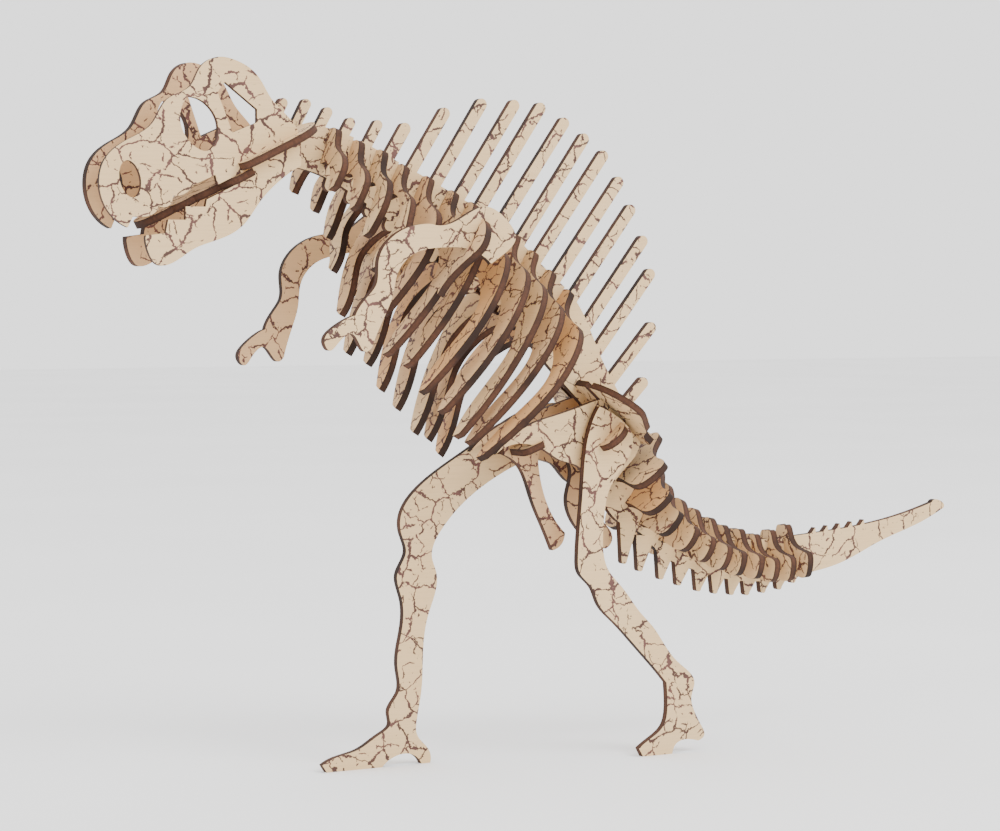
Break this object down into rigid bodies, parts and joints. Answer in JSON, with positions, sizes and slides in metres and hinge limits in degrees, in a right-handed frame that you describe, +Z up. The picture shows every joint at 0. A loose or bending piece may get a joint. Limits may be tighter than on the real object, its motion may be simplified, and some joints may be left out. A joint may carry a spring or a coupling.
{
  "type": "wooden 3d jigsaw model",
  "caption": "Slot-together plywood skeleton of a sail-backed dinosaur posed upright on two feet; flat plates push into each other's slots.",
  "frame": {"origin": "on the floor under the middle of the model's box", "axes": "+X towards the tail, +Y towards the animal's right side, +Z up"},
  "size_m": [0.4054, 0.1022, 0.2803],
  "materials": {
    "printed_plywood": "laser-cut plywood with a printed crackle pattern and scorched edges"
  },
  "bodies": {
    "core": {"spine_plate": "printed_plywood", "tail_plate": "printed_plywood", "sacrum_plate": "printed_plywood", "hip_left": "printed_plywood", "hip_right": "printed_plywood", "hip_cross_plate": "printed_plywood", "pubis_cross_plate": "printed_plywood", "pubis": "printed_plywood", "ischium": "printed_plywood"},
    "skull": {"skull_left": "printed_plywood", "skull_right": "printed_plywood", "nape_plate": "printed_plywood", "palate_plate": "printed_plywood"},
    "rib_01_body": {"rib_01": "printed_plywood"},
    "rib_02_body": {"rib_02": "printed_plywood"},
    "rib_03_body": {"rib_03": "printed_plywood"},
    "rib_04_body": {"rib_04": "printed_plywood"},
    "rib_05_body": {"rib_05": "printed_plywood"},
    "rib_06_body": {"rib_06": "printed_plywood"},
    "rib_07_body": {"rib_07": "printed_plywood"},
    "rib_08_body": {"rib_08": "printed_plywood"},
    "rib_09_body": {"rib_09": "printed_plywood"},
    "rib_10_body": {"rib_10": "printed_plywood"},
    "rib_11_body": {"rib_11": "printed_plywood"},
    "rib_12_body": {"rib_12": "printed_plywood"},
    "arm_left_body": {"arm_left": "printed_plywood"},
    "arm_right_body": {"arm_right": "printed_plywood"},
    "leg_left_body": {"leg_left": "printed_plywood"},
    "leg_right_body": {"leg_right": "printed_plywood"},
    "tail_rib_01_body": {"tail_rib_01": "printed_plywood"},
    "tail_rib_02_body": {"tail_rib_02": "printed_plywood"},
    "tail_rib_03_body": {"tail_rib_03": "printed_plywood"},
    "tail_rib_04_body": {"tail_rib_04": "printed_plywood"},
    "tail_rib_05_body": {"tail_rib_05": "printed_plywood"},
    "tail_rib_06_body": {"tail_rib_06": "printed_plywood"},
    "tail_rib_07_body": {"tail_rib_07": "printed_plywood"},
    "tail_rib_08_body": {"tail_rib_08": "printed_plywood"},
    "tail_rib_09_body": {"tail_rib_09": "printed_plywood"},
    "tail_rib_10_body": {"tail_rib_10": "printed_plywood"},
    "tail_rib_11_body": {"tail_rib_11": "printed_plywood"}
  },
  "joints": [
    {"name": "skull_slide", "type": "slide", "parent": "core", "child": "skull", "axis": [-0.891, 0, -0.454], "range_m": [0, 0.013]},
    {"name": "rib_01_slide", "type": "slide", "parent": "core", "child": "rib_01_body", "axis": [0.3173, 0, 0.9483], "range_m": [0, 0.0106]},
    {"name": "rib_02_slide", "type": "slide", "parent": "core", "child": "rib_02_body", "axis": [0.3173, 0, 0.9483], "range_m": [0, 0.0106]},
    {"name": "rib_03_slide", "type": "slide", "parent": "core", "child": "rib_03_body", "axis": [0.3746, 0, 0.9272], "range_m": [0, 0.0114]},
    {"name": "rib_04_slide", "type": "slide", "parent": "core", "child": "rib_04_body", "axis": [0.4462, 0, 0.8949], "range_m": [0, 0.0116]},
    {"name": "rib_05_slide", "type": "slide", "parent": "core", "child": "rib_05_body", "axis": [0.4617, 0, 0.887], "range_m": [0, 0.0122]},
    {"name": "rib_06_slide", "type": "slide", "parent": "core", "child": "rib_06_body", "axis": [0.5, 0, 0.866], "range_m": [0, 0.0128]},
    {"name": "rib_07_slide", "type": "slide", "parent": "core", "child": "rib_07_body", "axis": [0.5, 0, 0.866], "range_m": [0, 0.0134]},
    {"name": "rib_08_slide", "type": "slide", "parent": "core", "child": "rib_08_body", "axis": [0.5075, 0, 0.8616], "range_m": [0, 0.0138]},
    {"name": "rib_09_slide", "type": "slide", "parent": "core", "child": "rib_09_body", "axis": [0.515, 0, 0.8572], "range_m": [0, 0.0138]},
    {"name": "rib_10_slide", "type": "slide", "parent": "core", "child": "rib_10_body", "axis": [0.5075, 0, 0.8616], "range_m": [0, 0.0142]},
    {"name": "rib_11_slide", "type": "slide", "parent": "core", "child": "rib_11_body", "axis": [0.5592, 0, 0.829], "range_m": [0, 0.0138]},
    {"name": "rib_12_slide", "type": "slide", "parent": "core", "child": "rib_12_body", "axis": [0.5948, 0, 0.8039], "range_m": [0, 0.0136]},
    {"name": "arm_left_slide", "type": "slide", "parent": "rib_06_body", "child": "arm_left_body", "axis": [0.5, 0, 0.866], "range_m": [0, 0.014]},
    {"name": "arm_right_slide", "type": "slide", "parent": "rib_06_body", "child": "arm_right_body", "axis": [0.5, 0, 0.866], "range_m": [0, 0.014]},
    {"name": "leg_left_slide", "type": "slide", "parent": "core", "child": "leg_left_body", "axis": [0, -1, 0], "range_m": [0, 0.012]},
    {"name": "leg_right_slide", "type": "slide", "parent": "core", "child": "leg_right_body", "axis": [0, 1, 0], "range_m": [0, 0.012]},
    {"name": "tail_rib_01_slide", "type": "slide", "parent": "core", "child": "tail_rib_01_body", "axis": [0.7431, 0, 0.6691], "range_m": [0, 0.015]},
    {"name": "tail_rib_02_slide", "type": "slide", "parent": "core", "child": "tail_rib_02_body", "axis": [0.6691, 0, 0.7431], "range_m": [0, 0.0115]},
    {"name": "tail_rib_03_slide", "type": "slide", "parent": "core", "child": "tail_rib_03_body", "axis": [0.515, 0, 0.8572], "range_m": [0, 0.0115]},
    {"name": "tail_rib_04_slide", "type": "slide", "parent": "core", "child": "tail_rib_04_body", "axis": [0.3907, 0, 0.9205], "range_m": [0, 0.011]},
    {"name": "tail_rib_05_slide", "type": "slide", "parent": "core", "child": "tail_rib_05_body", "axis": [0.2756, 0, 0.9613], "range_m": [0, 0.011]},
    {"name": "tail_rib_06_slide", "type": "slide", "parent": "core", "child": "tail_rib_06_body", "axis": [0.1908, 0, 0.9816], "range_m": [0, 0.0107]},
    {"name": "tail_rib_07_slide", "type": "slide", "parent": "core", "child": "tail_rib_07_body", "axis": [0.1045, 0, 0.9945], "range_m": [0, 0.0105]},
    {"name": "tail_rib_08_slide", "type": "slide", "parent": "core", "child": "tail_rib_08_body", "axis": [0.0523, 0, 0.9986], "range_m": [0, 0.0105]},
    {"name": "tail_rib_09_slide", "type": "slide", "parent": "core", "child": "tail_rib_09_body", "axis": [0.0175, 0, 0.9998], "range_m": [0, 0.0103]},
    {"name": "tail_rib_10_slide", "type": "slide", "parent": "core", "child": "tail_rib_10_body", "axis": [-0.0175, 0, 0.9998], "range_m": [0, 0.011]},
    {"name": "tail_rib_11_slide", "type": "slide", "parent": "core", "child": "tail_rib_11_body", "axis": [-0.0523, 0, 0.9986], "range_m": [0, 0.0115]}
  ]
}
